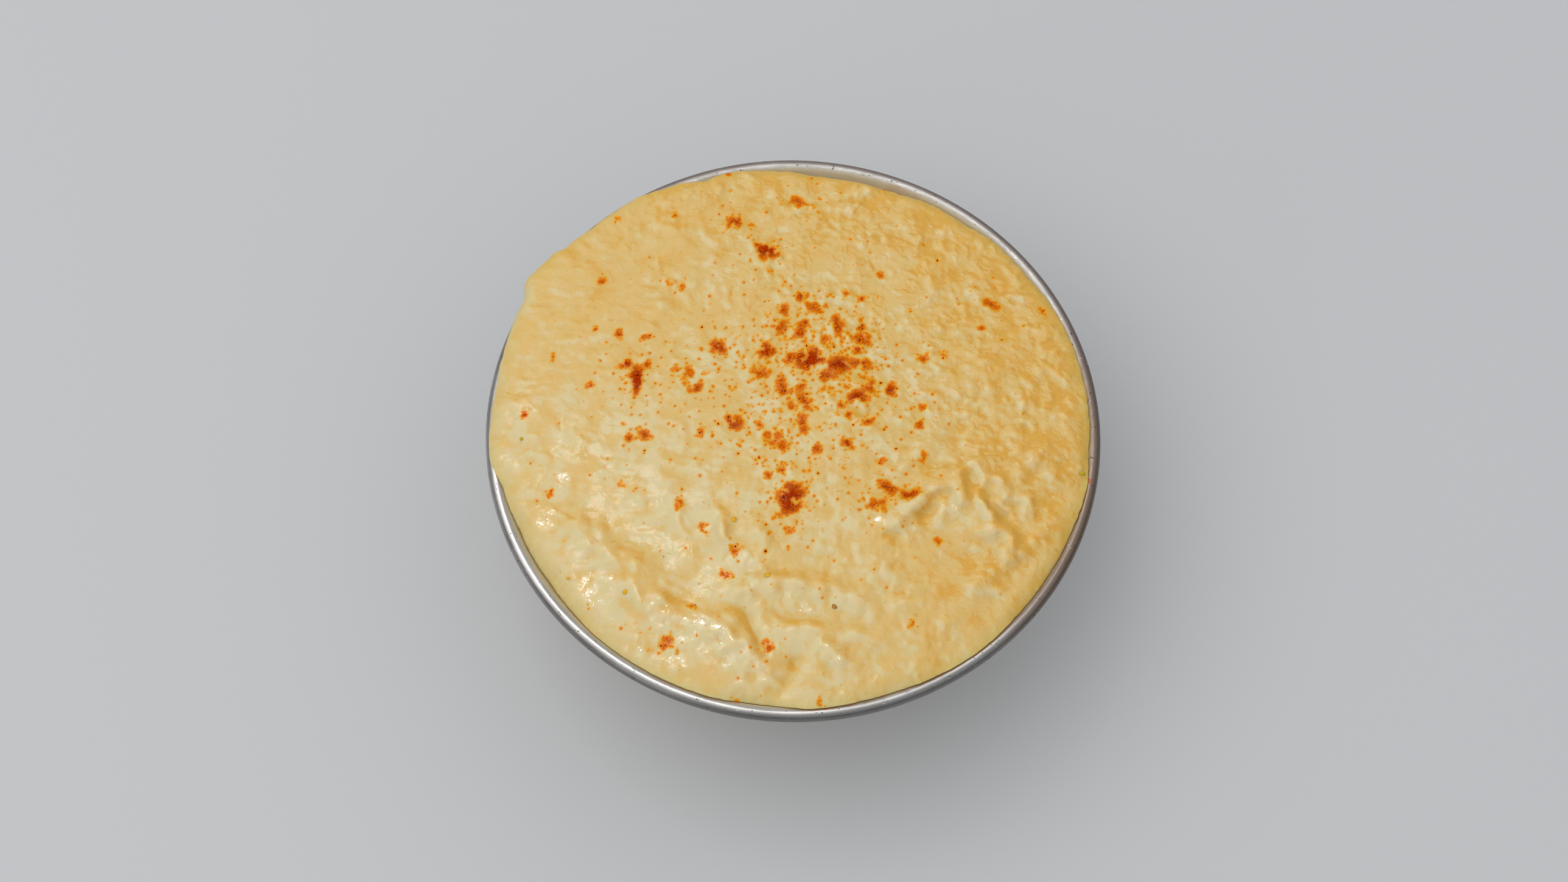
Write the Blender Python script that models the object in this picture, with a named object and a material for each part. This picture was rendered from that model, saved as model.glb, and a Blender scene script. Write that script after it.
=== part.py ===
# A small steel dip bowl, filled over its brim with hummus and dusted with paprika.
# The origin is the centre of the flat base. +Y points away from the front of the bowl.

import math
import random

import bmesh
import bpy
import numpy as np
from mathutils import Matrix, Vector, noise

MM = 0.001
MERGE_DISTANCE = 0.001 * MM

# Bowl
RIM_RADIUS = 60.0 * MM
BOWL_HEIGHT = 46.0 * MM
BEAD_RADIUS = 1.4 * MM  # round section of the rolled lip
WALL_THICKNESS = 0.9 * MM
LEAN_AT_LIP = math.radians(25)  # lean of the wall from upright
LEAN_AT_KNUCKLE = math.radians(42)
KNUCKLE_RADIUS = 14.0 * MM  # bend between the wall and the flat base
BOWL_STEPS = 72
BEAD_STEPS = 12
WALL_STEPS = 4
KNUCKLE_STEPS = 4
BOWL_CREASE = math.radians(40)  # edges sharper than this are shown sharp
STEEL_COLOUR = (0.42, 0.41, 0.39)
STEEL_ROUGHNESS = 0.34

# Hummus
GAP = 0.3 * MM  # kept to the steel all round
DOME_RISE = 5.2 * MM  # centre above the lip
DOME_POWER = 2.4  # how late the dome falls away towards its edge
SHOULDER_WIDTH = 3.2 * MM  # the edge rolls down over this width
MOST_CLIMB = math.radians(40)  # furthest that the dip wraps round the lip's outer side
OVERHANG = 0.2 * MM  # least that the edge stands out past where the dip leaves the lip
NOSE_LIFT = 0.35 * MM  # least height of the outermost edge above that place
NOSE_SLOPE = 0.5  # further lift as a share of how far the edge stands out
UNDERCUT = (0.6, 0.35)  # middle of the edge's underside, as shares of its way out and up
EDGE_DEPTH = 4.0 * MM  # the finer rings under the edge reach this far down the wall
HUMMUS_STEPS = 144
TOP_RINGS = 48
SHOULDER_RINGS = 6
EDGE_RINGS = 5
HUMMUS_TRIANGLES = 7900
HUMMUS_CREASE = math.radians(50)
HUMMUS_COLOUR = (0.75, 0.58, 0.27)
HUMMUS_ROUGHNESS = 0.45

# Outermost radius of the dip in millimetres at each compass angle. It spills over the lip
# between 110 and 190 degrees and stands a little inside it at the front left.
LIP_LINE = (
    (4, 57.8), (22, 57.9), (30, 57.7), (38, 57.3), (48, 57.4), (54, 57.0), (62, 57.0), (70, 56.5),
    (86, 56.4), (94, 57.0), (105, 57.6), (110, 57.3), (116, 58.0), (124, 58.8), (134, 59.0),
    (141, 59.7), (144, 60.7), (151, 61.5), (155, 59.6), (168, 59.0), (174, 58.6), (188, 59.1),
    (196, 57.5), (205, 56.8), (217, 56.5), (235, 57.4), (248, 57.7), (256, 57.8), (265, 57.0),
    (276, 58.1), (288, 57.6), (306, 58.1), (325, 57.5), (338, 57.6), (350, 58.1), (357, 57.6),
)

# Height of the shoulder above the lip in millimetres at each compass angle.
SHOULDER_LINE = (
    (0, 1.0), (50, 1.4), (90, 1.9), (125, 2.7), (150, 3.2), (172, 2.6), (195, 1.3), (225, 0.7),
    (270, 0.7), (320, 0.8),
)

# Marks of the spoon: height, half width on the left of the stroke, half width on its right,
# all in millimetres, then points along it.
STROKES = (
    (1.2, 1.5, 5.0, ((-41.0, -22.5), (-36.5, -25.3), (-32.5, -28.3), (-25.0, -33.2))),
    (-0.7, 2.0, 2.0, ((-36.0, -23.5), (-31.0, -28.4), (-26.5, -31.2), (-19.0, -32.3))),
    (0.9, 1.3, 3.5, ((-29.0, -35.3), (-25.5, -37.5), (-22.3, -39.5), (-19.5, -41.0))),
    (-0.5, 1.3, 1.3, ((-26.5, -34.3), (-22.5, -36.5), (-19.0, -38.8))),
    (1.6, 2.8, 4.0, ((-14.5, -41.5), (-11.5, -43.5), (-8.5, -46.0), (-5.5, -49.0))),
    (-1.5, 1.0, 2.0, ((-9.3, -38.5), (-7.6, -40.6), (-6.2, -43.0), (-4.4, -46.0))),
    (0.9, 1.8, 2.2, ((-9.0, -35.0), (-4.0, -33.7), (1.0, -33.8), (5.0, -34.5), (16.0, -37.0))),
    (-0.6, 1.0, 1.0, ((-3.0, -39.8), (1.0, -40.6), (6.0, -41.3))),
    (0.6, 1.2, 2.0, ((-1.0, -42.3), (5.0, -42.8), (12.0, -43.0), (18.0, -44.2))),
    (0.8, 1.8, 1.8, ((6.5, -46.0), (9.5, -48.0), (12.0, -49.2))),
    (-0.9, 1.6, 1.6, ((2.2, -48.6), (0.6, -51.6), (-1.0, -54.2))),
    (0.8, 1.0, 1.7, ((-13.2, -20.5), (-12.6, -23.4), (-11.8, -25.6))),
    (1.6, 2.6, 1.1, ((20.5, -20.5), (24.0, -17.0), (27.0, -14.3), (29.5, -12.4))),
    (-1.0, 0.9, 1.5, ((24.3, -20.2), (27.0, -17.5), (29.3, -14.8))),
    (1.1, 1.2, 2.2, ((32.3, -11.3), (32.6, -14.0), (31.8, -17.2))),
    (1.1, 1.4, 1.7, ((31.2, -10.0), (33.0, -8.6), (36.2, -7.8))),
    (1.6, 1.3, 3.2, ((34.3, -13.6), (37.2, -18.2), (39.0, -20.6), (42.2, -22.4), (41.8, -27.0))),
    (-1.0, 1.8, 1.6, ((36.8, -12.6), (38.8, -16.5), (41.2, -19.5), (44.6, -22.0))),
    (1.0, 1.3, 1.5, ((39.2, -11.0), (41.4, -12.8), (41.0, -14.8))),
    (0.9, 1.7, 1.7, ((43.5, -9.5), (46.5, -6.0), (49.5, -2.0))),
    (0.9, 1.6, 1.6, ((43.0, -26.5), (46.5, -23.0), (50.0, -19.0))),
    (0.9, 1.5, 1.9, ((34.6, -34.0), (36.4, -31.8), (38.2, -30.4))),
    (-0.6, 2.2, 2.2, ((29.0, -6.4), (33.0, -2.0), (36.0, 2.4))),
)
STROKE_SAMPLES = 9  # straight pieces that each stroke is read as
STROKE_END = 0.08  # share of the half wave left off each end, so that an end keeps some height

# Slow swell of the whole surface.
SWELL_SIZE = 15.0 * MM
SWELL_HEIGHT = 0.45 * MM
SWELL_POWER = 8  # how late the swell dies out towards the edge

# Paprika: middle of each pinch, its reach, how many clumps it leaves and their radius, in
# millimetres.
PINCHES = (
    (2.7, 12.8, 2.0, 3, 1.8), (8.3, 12.0, 1.6, 2, 1.5), (-30.8, 7.3, 1.2, 2, 1.6),
    (-0.2, -16.7, 1.4, 2, 1.8), (12.8, 12.6, 1.4, 2, 1.2), (-6.5, 36.8, 1.4, 2, 1.4),
    (-6.0, 14.4, 1.0, 2, 1.3), (12.3, 5.0, 1.0, 1, 1.5), (14.6, 7.6, 1.0, 1, 1.0),
    (18.5, -13.5, 1.2, 2, 1.1), (22.6, -15.0, 1.4, 2, 1.1), (16.2, -17.5, 1.0, 1, 1.0),
    (13.3, 17.8, 1.3, 2, 1.1), (-15.2, 15.0, 1.0, 1, 1.3), (7.8, 20.5, 1.5, 2, 0.9),
    (2.0, 3.7, 1.0, 1, 1.1), (1.5, -1.0, 1.4, 2, 0.9), (-12.0, -1.0, 1.0, 1, 1.3),
    (-3.6, -4.2, 1.2, 1, 1.1), (-6.6, 9.6, 0.8, 1, 1.0), (-2.3, 6.0, 1.0, 1, 0.9),
    (0.8, 18.4, 0.8, 1, 1.0), (-3.5, 19.8, 0.8, 1, 1.0), (4.3, 24.4, 1.2, 1, 1.0),
    (-28.6, -4.0, 1.0, 1, 1.0), (-33.0, 10.8, 0.6, 1, 0.9), (-21.3, 9.3, 0.8, 1, 1.0),
    (-19.2, 6.0, 0.7, 1, 0.9), (-0.2, 48.2, 1.0, 1, 1.0), (-12.8, 43.3, 0.9, 1, 0.9),
    (-22.8, -46.0, 0.8, 1, 1.0), (-3.7, -46.5, 0.7, 1, 0.9), (38.2, 27.4, 1.2, 1, 0.9),
    (-10.2, -27.5, 0.6, 1, 0.8), (-12.0, -32.6, 0.6, 1, 0.8),
)
CLUMP_FLATNESS = 0.42  # height of a clump over its width
CLUMP_UNEVENNESS = 0.22
CLUMP_SIZES = (0.8, 1.1)
CLUMP_SPREAD = (0.1, 0.6)  # how far out in its own share of the pinch a clump may lie
SEED = 7

bead_centre_r = RIM_RADIUS - BEAD_RADIUS
bead_centre_z = BOWL_HEIGHT - BEAD_RADIUS
wall_radius = (
    bead_centre_z
    + BEAD_RADIUS * math.sin(LEAN_AT_LIP)
    - KNUCKLE_RADIUS * (1 - math.sin(LEAN_AT_KNUCKLE))
    - WALL_THICKNESS
) / (math.sin(LEAN_AT_KNUCKLE) - math.sin(LEAN_AT_LIP))


def moved(point, lean, distance):
    """A section point moved across the wall, outwards where the distance is positive."""
    return point[0] + distance * math.cos(lean), point[1] - distance * math.sin(lean)


def wall_point(lean, offset):
    """The section of the inner wall or the knuckle where it leans this far, moved out by offset."""
    arc_centre = moved((bead_centre_r, bead_centre_z), LEAN_AT_LIP, -BEAD_RADIUS - wall_radius)
    if lean <= LEAN_AT_KNUCKLE:
        return moved(arc_centre, lean, wall_radius + offset)
    knuckle_centre = moved(arc_centre, LEAN_AT_KNUCKLE, wall_radius - KNUCKLE_RADIUS)
    return moved(knuckle_centre, lean, KNUCKLE_RADIUS + offset)


def bead_point(angle, offset):
    """A point round the lip's section: 0 is its outer side and a quarter turn is its crest."""
    reach = BEAD_RADIUS + offset
    return bead_centre_r + reach * math.cos(angle), bead_centre_z + reach * math.sin(angle)


def steps(first, last, count):
    return [first + (last - first) * i / count for i in range(count + 1)]


def bowl_section():
    """The bowl's closed section as (radius, height), from under its middle round to its inside."""
    inner_touch = math.pi - LEAN_AT_LIP
    # Where the wall's outer face leaves the round lip.
    across = wall_radius + BEAD_RADIUS
    outer = wall_radius + WALL_THICKNESS
    turn = math.acos((BEAD_RADIUS**2 + across**2 - outer**2) / (2 * BEAD_RADIUS * across))
    exit_lean = LEAN_AT_LIP + math.asin(BEAD_RADIUS * math.sin(turn) / outer)
    knuckle = steps(math.pi / 2, LEAN_AT_KNUCKLE, KNUCKLE_STEPS)
    outer_wall = steps(LEAN_AT_KNUCKLE, exit_lean, WALL_STEPS)
    around = steps(inner_touch + turn - 2 * math.pi, inner_touch, BEAD_STEPS)
    inner_wall = steps(LEAN_AT_LIP, LEAN_AT_KNUCKLE, WALL_STEPS)
    section = [(0.0, 0.0)]
    section += [wall_point(lean, WALL_THICKNESS) for lean in knuckle]
    section += [wall_point(lean, WALL_THICKNESS) for lean in outer_wall[1:]]
    section += [bead_point(angle, 0.0) for angle in around[1:]]
    section += [wall_point(lean, 0.0) for lean in inner_wall[1:]]
    section += [wall_point(lean, 0.0) for lean in reversed(knuckle[:-1])]
    section.append((0.0, WALL_THICKNESS))
    return section


def spun(name, section, count):
    """A closed solid turned round the Z axis from a section that starts and ends on it."""
    shape = bmesh.new()
    wire = [shape.verts.new((r, 0.0, z)) for r, z in section]
    edges = [shape.edges.new(pair) for pair in zip(wire, wire[1:])]
    bmesh.ops.spin(
        shape, geom=wire + edges, axis=(0, 0, 1), cent=(0, 0, 0), angle=2 * math.pi, steps=count,
        use_merge=True,
    )
    return finished(name, shape)


def finished(name, shape):
    bmesh.ops.remove_doubles(shape, verts=shape.verts[:], dist=MERGE_DISTANCE)
    bmesh.ops.recalc_face_normals(shape, faces=shape.faces[:])
    mesh = bpy.data.meshes.new(name)
    shape.to_mesh(mesh)
    shape.free()
    solid = bpy.data.objects.new(name, mesh)
    bpy.context.scene.collection.objects.link(solid)
    return solid


def around_line(line, degrees):
    """A value read from (angle, value) pairs round the compass, eased between them."""
    angles = np.array([a for a, _ in line] + [line[0][0] + 360.0])
    values = np.array([v for _, v in line] + [line[0][1]])
    at = np.mod(np.asarray(degrees, float) - angles[0], 360.0) + angles[0]
    left = np.clip(np.searchsorted(angles, at, side="right") - 1, 0, len(line) - 1)
    share = (at - angles[left]) / (angles[left + 1] - angles[left])
    eased = share * share * (3 - 2 * share)
    return values[left] + (values[left + 1] - values[left]) * eased


def smooth_path(points, count):
    """Points along a Catmull-Rom curve through the given ones."""
    known = [np.array(p) for p in points]
    known = [2 * known[0] - known[1], *known, 2 * known[-1] - known[-2]]
    path = []
    for i in range(count + 1):
        where = i / count * (len(points) - 1)
        k = min(int(where), len(points) - 2)
        t = where - k
        a, b, c, d = known[k : k + 4]
        square = (2 * a - 5 * b + 4 * c - d) * t**2
        cube = (3 * b - a - 3 * c + d) * t**3
        path.append(0.5 * (2 * b + (c - a) * t + square + cube))
    return np.array(path)


def stroke_height(places, stroke):
    """What one spoon mark adds at each (x, y), in metres."""
    height, left_width, right_width, points = stroke
    path = smooth_path(points, STROKE_SAMPLES) * MM
    nearest = np.full(len(places), np.inf)
    across = np.zeros(len(places))
    along = np.zeros(len(places))
    for i, (start, end) in enumerate(zip(path, path[1:])):
        way = end - start
        length = np.linalg.norm(way)
        way = way / length
        offset = places - start
        t = np.clip(offset @ way / length, 0.0, 1.0)
        gap = offset - np.outer(t * length, way)
        distance = np.linalg.norm(gap, axis=1)
        closer = distance < nearest
        side = way[0] * offset[:, 1] - way[1] * offset[:, 0]
        nearest = np.where(closer, distance, nearest)
        across = np.where(closer, side, across)
        along = np.where(closer, (i + t) / STROKE_SAMPLES, along)
    width = np.where(across > 0, left_width, right_width) * MM
    taper = np.sqrt(np.sin(np.pi * (STROKE_END + (1 - 2 * STROKE_END) * along)))
    return height * MM * taper * np.exp(-((nearest / width) ** 2))


def surface_height(places):
    """Height of the dip's top at each (x, y), before its edge rolls down."""
    degrees = np.degrees(np.arctan2(places[:, 1], places[:, 0]))
    edge = around_line(LIP_LINE, degrees) * MM
    shoulder = around_line(SHOULDER_LINE, degrees) * MM
    out = np.clip(np.linalg.norm(places, axis=1) / edge, 0.0, 1.0)
    height = BOWL_HEIGHT + shoulder + (DOME_RISE - shoulder) * (1 - out**DOME_POWER)
    calm = 1 - out**SWELL_POWER
    swell = np.array([noise.noise(Vector((x, y, 0.0)) / SWELL_SIZE) for x, y in places])
    height += SWELL_HEIGHT * swell * calm
    for stroke in STROKES:
        height += stroke_height(places, stroke)
    return height


def under_path(climb):
    """Section point on the dip's underside: climb is the way up past the wall's top, in metres."""
    if climb < 0:
        return wall_point(LEAN_AT_LIP - climb / wall_radius, -GAP)
    return bead_point(math.pi - LEAN_AT_LIP - climb / (BEAD_RADIUS + GAP), GAP)


def climb_at(radius):
    """How far up the underside's path reaches this radius."""
    reach = BEAD_RADIUS + GAP
    top_of_wall = bead_centre_r - reach * math.cos(LEAN_AT_LIP)
    if radius <= top_of_wall:
        return (radius - top_of_wall) / math.sin(LEAN_AT_LIP)
    angle = math.acos((radius - bead_centre_r) / reach)
    return reach * (math.pi - LEAN_AT_LIP - angle)


def hummus_column(degrees):
    """The dip's section at one compass angle, as (radius, height), from the top's middle down
    round its edge to the middle of the bowl."""
    turn = math.radians(degrees)
    edge = float(around_line(LIP_LINE, degrees)) * MM
    most = bead_centre_r + (BEAD_RADIUS + GAP) * math.cos(MOST_CLIMB)
    touch = min(edge - OVERHANG, most)
    climb = climb_at(touch)
    touch_z = under_path(climb)[1]
    nose_z = touch_z + NOSE_LIFT + NOSE_SLOPE * (edge - touch)
    inner = edge - SHOULDER_WIDTH
    radii = [inner * i / TOP_RINGS for i in range(TOP_RINGS + 1)]
    radii += [
        inner + SHOULDER_WIDTH * math.sin(math.pi / 2 * i / SHOULDER_RINGS)
        for i in range(1, SHOULDER_RINGS + 1)
    ]
    places = np.array([(r * math.cos(turn), r * math.sin(turn)) for r in radii])
    column = []
    for r, z in zip(radii, surface_height(places)):
        out = max(0.0, (r - inner) / SHOULDER_WIDTH)
        column.append((r, nose_z + (z - nose_z) * math.sqrt(max(0.0, 1 - out * out))))
    way_out, way_up = UNDERCUT
    column.append((touch + way_out * (edge - touch), touch_z + way_up * (nose_z - touch_z)))
    column += [under_path(c) for c in steps(climb, -EDGE_DEPTH, EDGE_RINGS)]
    wall = steps(LEAN_AT_LIP + EDGE_DEPTH / wall_radius, LEAN_AT_KNUCKLE, WALL_STEPS)
    knuckle = steps(LEAN_AT_KNUCKLE, math.pi / 2, KNUCKLE_STEPS)
    column += [wall_point(lean, -GAP) for lean in wall[1:] + knuckle[1:]]
    column.append((0.0, WALL_THICKNESS + GAP))
    return column


def hummus_body():
    """The dip without its paprika: a flat turned disc whose rings fold down round the edge."""
    rings = len(hummus_column(0.0))
    disc = bmesh.new()
    wire = [disc.verts.new((i * MM, 0.0, 0.0)) for i in range(rings)]
    edges = [disc.edges.new(pair) for pair in zip(wire, wire[1:])]
    bmesh.ops.spin(
        disc, geom=wire + edges, axis=(0, 0, 1), cent=(0, 0, 0), angle=2 * math.pi,
        steps=HUMMUS_STEPS, use_merge=True,
    )
    columns = [hummus_column(360.0 * i / HUMMUS_STEPS) for i in range(HUMMUS_STEPS)]
    for vert in disc.verts:
        ring = round(vert.co.length / MM)
        turn = math.atan2(vert.co.y, vert.co.x)
        step = round(turn / (2 * math.pi) * HUMMUS_STEPS) % HUMMUS_STEPS
        r, z = columns[step][ring]
        vert.co = (r * math.cos(turn), r * math.sin(turn), z)
    return finished("hummus", disc)


def applied(solid):
    """Makes the object's mesh the one that its modifiers give, and drops them."""
    graph = bpy.context.evaluated_depsgraph_get()
    mesh = bpy.data.meshes.new_from_object(solid.evaluated_get(graph))
    solid.modifiers.clear()
    old = solid.data
    solid.data = mesh
    bpy.data.meshes.remove(old)
    mesh.name = solid.name


def thin_out(solid, triangles):
    """Keeps this many triangles, the most where the surface bends most."""
    solid.data.calc_loop_triangles()
    thin = solid.modifiers.new("thin out", "DECIMATE")
    thin.ratio = triangles / len(solid.data.loop_triangles)
    applied(solid)


def clump(name, middle, radius, draw):
    """One low uneven mound of paprika, half sunk in the dip."""
    shape = bmesh.new()
    bmesh.ops.create_icosphere(shape, subdivisions=1, radius=radius)
    for vert in shape.verts:
        vert.co *= 1 + CLUMP_UNEVENNESS * draw.uniform(-1, 1)
        vert.co.z *= CLUMP_FLATNESS
    turn = Matrix.Rotation(draw.uniform(0, 2 * math.pi), 3, "Z")
    bmesh.ops.rotate(shape, verts=shape.verts[:], matrix=turn)
    bmesh.ops.translate(shape, verts=shape.verts[:], vec=middle)
    return finished(name, shape)


def dust_with_paprika(body):
    """Fuses the clumps of every pinch to the dip."""
    draw = random.Random(SEED)
    clumps = bpy.data.collections.new("paprika")
    bpy.context.scene.collection.children.link(clumps)
    for x, y, reach, count, radius in PINCHES:
        for i in range(count):
            far = reach * math.sqrt((i + draw.uniform(*CLUMP_SPREAD)) / count)
            turn = draw.uniform(0, 2 * math.pi)
            place = np.array([[x + far * math.cos(turn), y + far * math.sin(turn)]]) * MM
            z = float(surface_height(place)[0])
            size = radius * draw.uniform(*CLUMP_SIZES) * MM
            grain = clump("clump", (place[0, 0], place[0, 1], z), size, draw)
            bpy.context.scene.collection.objects.unlink(grain)
            clumps.objects.link(grain)
    union = body.modifiers.new("paprika", "BOOLEAN")
    union.operation = "UNION"
    union.operand_type = "COLLECTION"
    union.collection = clumps
    union.solver = "EXACT"
    applied(body)
    for grain in list(clumps.objects):
        bpy.data.objects.remove(grain)
    bpy.data.collections.remove(clumps)


def give_material(solid, name, colour, roughness, metallic):
    material = bpy.data.materials.new(name)
    material.use_nodes = True
    surface = material.node_tree.nodes["Principled BSDF"]
    surface.inputs["Base Color"].default_value = (*colour, 1.0)
    surface.inputs["Roughness"].default_value = roughness
    surface.inputs["Metallic"].default_value = metallic
    solid.data.materials.clear()
    solid.data.materials.append(material)


def main():
    for old in list(bpy.data.objects):
        bpy.data.objects.remove(old)
    bowl = spun("bowl", bowl_section(), BOWL_STEPS)
    bowl.data.shade_smooth()
    bowl.data.set_sharp_from_angle(angle=BOWL_CREASE)
    give_material(bowl, "dull steel", STEEL_COLOUR, STEEL_ROUGHNESS, 1.0)
    hummus = hummus_body()
    thin_out(hummus, HUMMUS_TRIANGLES)
    dust_with_paprika(hummus)
    hummus.data.shade_smooth()
    hummus.data.set_sharp_from_angle(angle=HUMMUS_CREASE)
    give_material(hummus, "hummus", HUMMUS_COLOUR, HUMMUS_ROUGHNESS, 0.0)


main()
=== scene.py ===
import math
import random

import bmesh
import bpy
import numpy as np
from mathutils import Matrix, Vector, noise
from mathutils.bvhtree import BVHTree
from mathutils.kdtree import KDTree


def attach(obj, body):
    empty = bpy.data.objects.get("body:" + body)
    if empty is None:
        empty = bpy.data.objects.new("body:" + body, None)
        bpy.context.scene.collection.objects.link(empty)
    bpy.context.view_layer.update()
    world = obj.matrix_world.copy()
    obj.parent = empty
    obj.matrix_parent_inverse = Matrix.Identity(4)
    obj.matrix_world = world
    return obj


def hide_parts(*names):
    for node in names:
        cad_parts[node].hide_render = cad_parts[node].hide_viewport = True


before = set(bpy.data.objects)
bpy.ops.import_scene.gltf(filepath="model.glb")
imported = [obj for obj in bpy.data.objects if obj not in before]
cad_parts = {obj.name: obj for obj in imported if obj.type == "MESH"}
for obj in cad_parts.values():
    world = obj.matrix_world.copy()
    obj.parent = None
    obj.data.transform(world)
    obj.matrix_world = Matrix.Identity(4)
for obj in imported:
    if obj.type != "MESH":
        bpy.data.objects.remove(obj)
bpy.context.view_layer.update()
mm = 0.001
draw = random.Random(41)
print("frame loaded", sorted(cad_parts))


# helpers
def lin(red, green, blue):
    # colours are written as they look on a screen, 0 to 255
    out = []
    for part in (red, green, blue):
        c = part / 255
        out.append(c / 12.92 if c <= 0.04045 else ((c + 0.055) / 1.055) ** 2.4)
    return (out[0], out[1], out[2], 1.0)


def ease(low, high, value):
    t = np.clip((value - low) / (high - low), 0.0, 1.0)
    return t * t * (3 - 2 * t)


def meshPiece(name, shape, standsFor=()):
    mesh = bpy.data.meshes.new(name)
    shape.to_mesh(mesh)
    shape.free()
    mesh.shade_smooth()
    piece = bpy.data.objects.new(name, mesh)
    bpy.context.scene.collection.objects.link(piece)
    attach(piece, "root")
    if standsFor:
        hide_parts(*standsFor)
    print("made", name, len(mesh.polygons), "faces")
    return piece


def sectionSteps(first, last, count):
    return [first + (last - first) * i / count for i in range(count + 1)]


def field(places, size, seed=0.0, octaves=1):
    # smooth noise read at many places, about -1 to 1
    values = np.empty(len(places))
    for i, (x, y, z) in enumerate(places):
        where = Vector((x, y, z)) / (size * mm) + Vector((seed, -seed, 0.7 * seed))
        if octaves == 1:
            values[i] = noise.noise(where)
        else:
            values[i] = noise.fractal(where, 0.8, 2.1, octaves)
    return values


class Nodes:
    # a short way to wire up a material

    def __init__(self, name):
        self.material = bpy.data.materials.new(name)
        self.material.use_nodes = True
        self.tree = self.material.node_tree
        self.surface = self.tree.nodes["Principled BSDF"]
        self.place = self.add("ShaderNodeTexCoord").outputs["Object"]

    def add(self, kind, **settings):
        node = self.tree.nodes.new(kind)
        for key, value in settings.items():
            setattr(node, key, value)
        return node

    def join(self, source, target):
        self.tree.links.new(source, target)

    def put(self, value, socket):
        if isinstance(value, bpy.types.NodeSocket):
            self.join(value, socket)
        else:
            socket.default_value = value

    def noise(self, size, detail=2.0, rough=0.5, at=None, stretch=None, warp=0.0):
        # size in mm across one lump
        source = self.place if at is None else at
        if stretch:
            turn = self.add("ShaderNodeMapping")
            turn.inputs["Rotation"].default_value = (0.0, 0.0, stretch[0])
            turn.inputs["Scale"].default_value = stretch[1]
            self.join(source, turn.inputs["Vector"])
            source = turn.outputs[0]
        node = self.add("ShaderNodeTexNoise")
        node.inputs["Scale"].default_value = 1 / (size * mm)
        node.inputs["Detail"].default_value = detail
        node.inputs["Roughness"].default_value = rough
        node.inputs["Distortion"].default_value = warp
        self.join(source, node.inputs["Vector"])
        return node.outputs["Fac"]

    def read(self, name):
        return self.add("ShaderNodeAttribute", attribute_name=name).outputs["Fac"]

    def math(self, operation, a, b=0.0):
        node = self.add("ShaderNodeMath", operation=operation)
        self.put(a, node.inputs[0])
        self.put(b, node.inputs[1])
        return node.outputs[0]

    def dot(self, vector, way):
        node = self.add("ShaderNodeVectorMath", operation="DOT_PRODUCT")
        self.join(vector, node.inputs[0])
        node.inputs[1].default_value = way
        return node.outputs["Value"]

    def span(self, value, low, high, first=0.0, last=1.0):
        node = self.add("ShaderNodeMapRange", interpolation_type="SMOOTHSTEP")
        self.put(value, node.inputs["Value"])
        for key, number in zip(("From Min", "From Max", "To Min", "To Max"), (low, high, first, last)):
            node.inputs[key].default_value = number
        return node.outputs["Result"]

    def mix(self, share, a, b, how="MIX"):
        node = self.add("ShaderNodeMix", data_type="RGBA", blend_type=how)
        self.put(share, node.inputs["Factor"])
        self.put(a, node.inputs["A"])
        self.put(b, node.inputs["B"])
        return node.outputs["Result"]

    def bump(self, height, distance, strength=1.0, before=None):
        node = self.add("ShaderNodeBump")
        node.inputs["Strength"].default_value = strength
        node.inputs["Distance"].default_value = distance * mm
        self.join(height, node.inputs["Height"])
        if before is not None:
            self.join(before, node.inputs["Normal"])
        return node.outputs["Normal"]


# the bowl: one turned section, rolled over at the lip
bowl = {
    "rim": 59.98, "height": 46.0, "bead": 1.4, "wall": 0.9,
    "leanAtLip": math.radians(25), "leanAtKnuckle": math.radians(42), "knuckle": 14.0,
    "turns": 216, "beadSteps": 26, "wallSteps": 14, "knuckleSteps": 8,
    "wobble": 0.035, "wobbleSize": 7.0,
}
beadR = bowl["rim"] - bowl["bead"]
beadZ = bowl["height"] - bowl["bead"]
wallR = (
    beadZ
    + bowl["bead"] * math.sin(bowl["leanAtLip"])
    - bowl["knuckle"] * (1 - math.sin(bowl["leanAtKnuckle"]))
    - bowl["wall"]
) / (math.sin(bowl["leanAtKnuckle"]) - math.sin(bowl["leanAtLip"]))


def pushed(point, lean, distance):
    return (point[0] + distance * math.cos(lean), point[1] - distance * math.sin(lean))


def onWall(lean, out):
    # inner face of the wall where it leans this far, moved out by this much, in mm
    middle = pushed((beadR, beadZ), bowl["leanAtLip"], -bowl["bead"] - wallR)
    if lean <= bowl["leanAtKnuckle"]:
        return pushed(middle, lean, wallR + out)
    middle = pushed(middle, bowl["leanAtKnuckle"], wallR - bowl["knuckle"])
    return pushed(middle, lean, bowl["knuckle"] + out)


def onBead(angle, out):
    reach = bowl["bead"] + out
    return (beadR + reach * math.cos(angle), beadZ + reach * math.sin(angle))


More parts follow.
